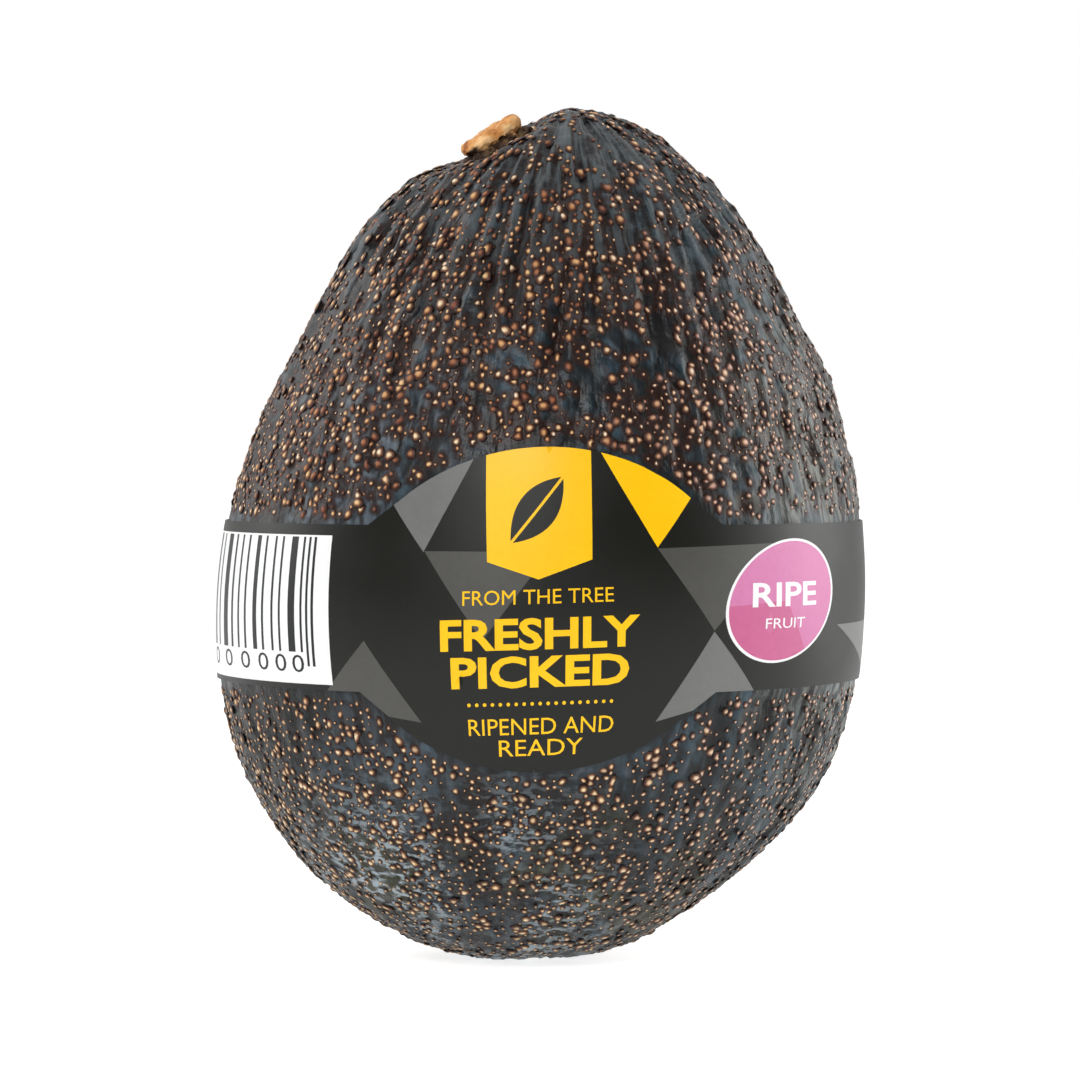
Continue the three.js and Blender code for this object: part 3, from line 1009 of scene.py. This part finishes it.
def paper_effect():
    """Coated paper: a faint fibre grain in its tone, its gloss and its surface."""
    tree, n = group(
        "coated paper",
        [("Colour", "NodeSocketColor", (0.5, 0.5, 0.5, 1)), ("Mottle", "NodeSocketFloat", PAPER_MOTTLE)],
        [("Colour", "NodeSocketColor"), ("Roughness", "NodeSocketFloat"), ("Normal", "NodeSocketVector")],
    )
    given = n.add("NodeGroupInput")
    given_out = n.add("NodeGroupOutput")
    fibre = n.cloud(1400, 4)
    cloud = n.cloud(90, 3)
    dark, light = (0.0, 0.0, 0.0), (1.0, 1.0, 1.0)
    shade = n.mix(0.6, n.ramp(fibre, [(0.3, dark), (0.7, light)]), n.ramp(cloud, [(0.3, dark), (0.7, light)]))
    lighter = n.mix(given.outputs["Mottle"], given.outputs["Colour"], shade, "SOFT_LIGHT")
    n.feed(given_out.inputs["Colour"], lighter)
    n.feed(given_out.inputs["Roughness"], n.span(cloud, 0.3, 0.7, 0.4, 0.48))
    n.feed(given_out.inputs["Normal"], n.bump(fibre, 0.02 * MM, 0.35))
    return tree


coated_paper = paper_effect()


def ink_material(ink):
    made, n, sockets = material("ink " + ink, Specular_IOR_Level=0.33)
    effect = n.add("ShaderNodeGroup", node_tree=coated_paper)
    effect.inputs["Colour"].default_value = (*INKS[ink], 1)
    effect.inputs["Mottle"].default_value = PAPER_MOTTLE
    n.feed(sockets["Base Color"], effect.outputs["Colour"])
    n.feed(sockets["Roughness"], effect.outputs["Roughness"])
    n.feed(sockets["Normal"], effect.outputs["Normal"])
    return made


label = new_piece("label_band_print", label_mesh, "label_paper", *map(ink_material, inks))
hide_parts("label_band")

# ---------------------------------------------------------------------------------------------
# The studio: a plain pale floor, a pale surround and soft boxes at the sides, and the camera.
# ---------------------------------------------------------------------------------------------
STAGE_RADIUS = 3.0
FLOOR_GLOW, BACKDROP_GLOW = 0.55, 0.25  # the floor's own light, and what the camera sees on top of it
EYE_DISTANCE = 0.480
EYE_HEIGHT, AIM_HEIGHT = 0.62, 0.4905  # as shares of the fruit's height
FIELD_WIDTH = 0.1233
SENSOR_WIDTH = 36

floor_form = bmesh.new()
bmesh.ops.create_circle(floor_form, cap_ends=True, radius=STAGE_RADIUS, segments=96)
floor_mesh = bpy.data.meshes.new("floor")
floor_form.to_mesh(floor_mesh)
floor_form.free()
floor = bpy.data.objects.new("floor", floor_mesh)
bpy.context.scene.collection.objects.link(floor)
floor_look, n, sockets = material("pale floor", Roughness=0.9, Specular_IOR_Level=0.1)
n.feed(sockets["Base Color"], n.ramp(n.cloud(3, 2), [(0.3, (0.70, 0.70, 0.70)), (0.7, (0.72, 0.72, 0.72))]))
seen = n.add("ShaderNodeLightPath").outputs["Is Camera Ray"]
n.feed(sockets["Emission Strength"], n.maths("ADD", n.times(seen, BACKDROP_GLOW), FLOOR_GLOW))
floor_mesh.materials.append(floor_look)


def softbox(name, place, aim, width, height, power):
    light = bpy.data.lights.new(name, "AREA")
    light.shape = "RECTANGLE"
    light.size, light.size_y = width, height
    light.energy = power
    holder = bpy.data.objects.new(name, light)
    holder.location = place
    holder.rotation_euler = (Vector(aim) - Vector(place)).to_track_quat("-Z", "Y").to_euler()
    bpy.context.scene.collection.objects.link(holder)


heart = tuple(fruit_middle)
softbox("right box", (0.55, 0.12, 0.14), heart, 0.4, 0.5, 2.4)
softbox("left box", (-0.52, 0.20, 0.36), heart, 0.4, 0.5, 1.6)
softbox("front box", (-0.14, -0.56, 0.40), heart, 0.24, 0.24, 2.3)

world = bpy.data.worlds.new("pale surround")
world.use_nodes = True
bpy.context.scene.world = world
surround = Nodes(world.node_tree)
back = world.node_tree.nodes["Background"]
seen = surround.add("ShaderNodeLightPath").outputs["Is Camera Ray"]
direction = surround.axes(surround.add("ShaderNodeTexCoord").outputs["Generated"])
behind = surround.span(direction["Y"], -0.5, 0.6, 0.03, 1.0)
above = surround.span(direction["Z"], -0.1, 1.0, 0.65, 1.15)
surround.feed(back.inputs["Strength"], surround.mix(seen, surround.times(behind, above), (1.0, 1.0, 1.0)))
back.inputs["Color"].default_value = (1, 1, 1, 1)

eye = bpy.data.cameras.new("camera")
eye.sensor_width = SENSOR_WIDTH
eye.lens = SENSOR_WIDTH * EYE_DISTANCE / FIELD_WIDTH
aim = Vector((fruit_middle.x, 0, AIM_HEIGHT * fruit_height))
camera = bpy.data.objects.new("camera", eye)
camera.location = (aim.x, -EYE_DISTANCE, EYE_HEIGHT * fruit_height)
camera.rotation_mode = "QUATERNION"
camera.rotation_quaternion = (aim - camera.location).to_track_quat("-Z", "Y")
bpy.context.scene.collection.objects.link(camera)
bpy.context.scene.camera = camera
bpy.context.scene.view_settings.view_transform = "Standard"
